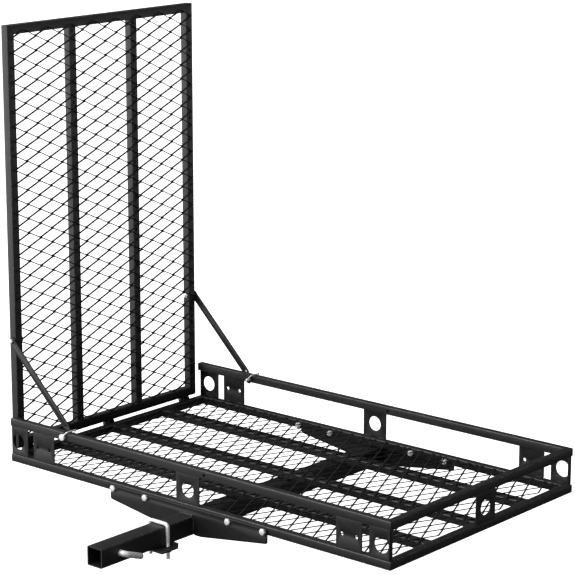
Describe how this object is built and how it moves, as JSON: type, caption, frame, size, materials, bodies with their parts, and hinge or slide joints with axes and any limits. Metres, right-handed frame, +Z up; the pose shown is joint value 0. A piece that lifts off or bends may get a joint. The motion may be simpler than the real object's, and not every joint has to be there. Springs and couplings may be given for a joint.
{
  "type": "hitch cargo carrier",
  "caption": "Mobility carrier for a receiver hitch: expanded-mesh deck with low side rails on a square hitch tube, and a folding mesh ramp hinged at one end.",
  "frame": {"origin": "middle of the lower wall of the hitch tube's open end, on the end face", "axes": "+Z up, +Y along the hitch tube away from the vehicle, +X along the deck away from the ramp"},
  "size_m": [1.3245, 1.1036, 1.264],
  "materials": {
    "black_coat": "satin black powder coat",
    "black_mesh": "satin black powder coat on expanded metal",
    "zinc_hardware": "bright zinc plate",
    "chrome_hardware": "bright chrome plate"
  },
  "bodies": {
    "base": {"hitch_tube": "black_coat", "bracket_front": "black_coat", "bracket_rear": "black_coat", "bracket_front_bolt_1": "zinc_hardware", "bracket_front_nut_1": "zinc_hardware", "bracket_rear_bolt_1": "zinc_hardware", "bracket_rear_nut_1": "zinc_hardware", "bracket_front_bolt_2": "zinc_hardware", "bracket_front_nut_2": "zinc_hardware", "bracket_rear_bolt_2": "zinc_hardware", "bracket_rear_nut_2": "zinc_hardware", "bracket_front_bolt_3": "zinc_hardware", "bracket_front_nut_3": "zinc_hardware", "bracket_rear_bolt_3": "zinc_hardware", "bracket_rear_nut_3": "zinc_hardware", "bracket_front_bolt_4": "zinc_hardware", "bracket_front_nut_4": "zinc_hardware", "bracket_rear_bolt_4": "zinc_hardware", "bracket_rear_nut_4": "zinc_hardware", "deck_frame": "black_coat", "deck_mesh": "black_mesh", "front_rail": "black_coat", "rear_rail": "black_coat", "end_rail": "black_coat", "hinge_bracket_1": "black_coat", "hinge_bolt_1": "black_coat", "hinge_nut_1": "black_coat", "hinge_bracket_2": "black_coat", "hinge_bolt_2": "black_coat", "hinge_nut_2": "black_coat", "hinge_bracket_3": "black_coat", "hinge_bolt_3": "black_coat", "hinge_nut_3": "black_coat"},
    "ramp": {"ramp_frame": "black_coat", "ramp_mesh": "black_mesh", "arm_bolt_front": "zinc_hardware", "arm_washer_front": "zinc_hardware", "arm_nut_front": "zinc_hardware", "arm_bolt_rear": "zinc_hardware", "arm_washer_rear": "zinc_hardware", "arm_nut_rear": "zinc_hardware"},
    "arm_front": {"arm_front": "black_coat"},
    "arm_rear": {"arm_rear": "black_coat"},
    "lock_pin_front": {"lock_pin_front": "zinc_hardware"},
    "lock_pin_rear": {"lock_pin_rear": "zinc_hardware"},
    "lock_bail_front": {"lock_bail_front": "chrome_hardware"},
    "lock_bail_rear": {"lock_bail_rear": "chrome_hardware"},
    "hitch_pin": {"hitch_pin": "chrome_hardware"},
    "hitch_clip": {"hitch_clip": "chrome_hardware"},
    "stabiliser": {"stabiliser_plate": "black_coat", "u_bolt": "chrome_hardware", "u_bolt_washer_left": "zinc_hardware", "u_bolt_nut_left": "zinc_hardware", "u_bolt_washer_right": "zinc_hardware", "u_bolt_nut_right": "zinc_hardware"}
  },
  "joints": [
    {"name": "ramp_fold", "type": "hinge", "parent": "base", "child": "ramp", "pos_m": [-0.6615, 0.711, 0.0718], "axis": [0, -1, 0], "range_deg": [0, 115]},
    {"name": "arm_front_swing", "type": "hinge", "parent": "ramp", "child": "arm_front", "pos_m": [-0.6615, 0.35325, 0.3808], "axis": [0, -1, 0], "range_deg": [-43.1, 0]},
    {"name": "arm_rear_swing", "type": "hinge", "parent": "ramp", "child": "arm_rear", "pos_m": [-0.6615, 1.06875, 0.3808], "axis": [0, -1, 0], "range_deg": [-43.1, 0]},
    {"name": "lock_pin_front_pull", "type": "slide", "parent": "base", "child": "lock_pin_front", "axis": [0, -1, 0], "range_m": [0, 0.045]},
    {"name": "lock_pin_rear_pull", "type": "slide", "parent": "base", "child": "lock_pin_rear", "axis": [0, 1, 0], "range_m": [0, 0.045]},
    {"name": "lock_bail_front_open", "type": "hinge", "parent": "lock_pin_front", "child": "lock_bail_front", "pos_m": [-0.43872, 0.3256, 0.16808], "axis": [0.7071, 0, -0.7071], "range_deg": [0, 95]},
    {"name": "lock_bail_rear_open", "type": "hinge", "parent": "lock_pin_rear", "child": "lock_bail_rear", "pos_m": [-0.43872, 1.0964, 0.16808], "axis": [-0.7071, 0, 0.7071], "range_deg": [0, 95]},
    {"name": "hitch_pin_turn", "type": "hinge", "parent": "base", "child": "hitch_pin", "pos_m": [0, 0.064, 0.0235], "axis": [1, 0, 0], "continuous": true},
    {"name": "hitch_clip_pull", "type": "slide", "parent": "hitch_pin", "child": "hitch_clip", "axis": [0, 1, 0], "range_m": [0, 0.06]},
    {"name": "stabiliser_slide", "type": "slide", "parent": "base", "child": "stabiliser", "axis": [0, 1, 0], "range_m": [-0.035, 0.05]}
  ],
  "couplings": [
    {"joint": "arm_front_swing", "follows": "ramp_fold", "ratio": -0.374},
    {"joint": "arm_rear_swing", "follows": "ramp_fold", "ratio": -0.374},
    {"joint": "lock_bail_front_open", "follows": "lock_pin_front_pull", "rad_per_m": 36.8},
    {"joint": "lock_bail_rear_open", "follows": "lock_pin_rear_pull", "rad_per_m": 36.8}
  ]
}
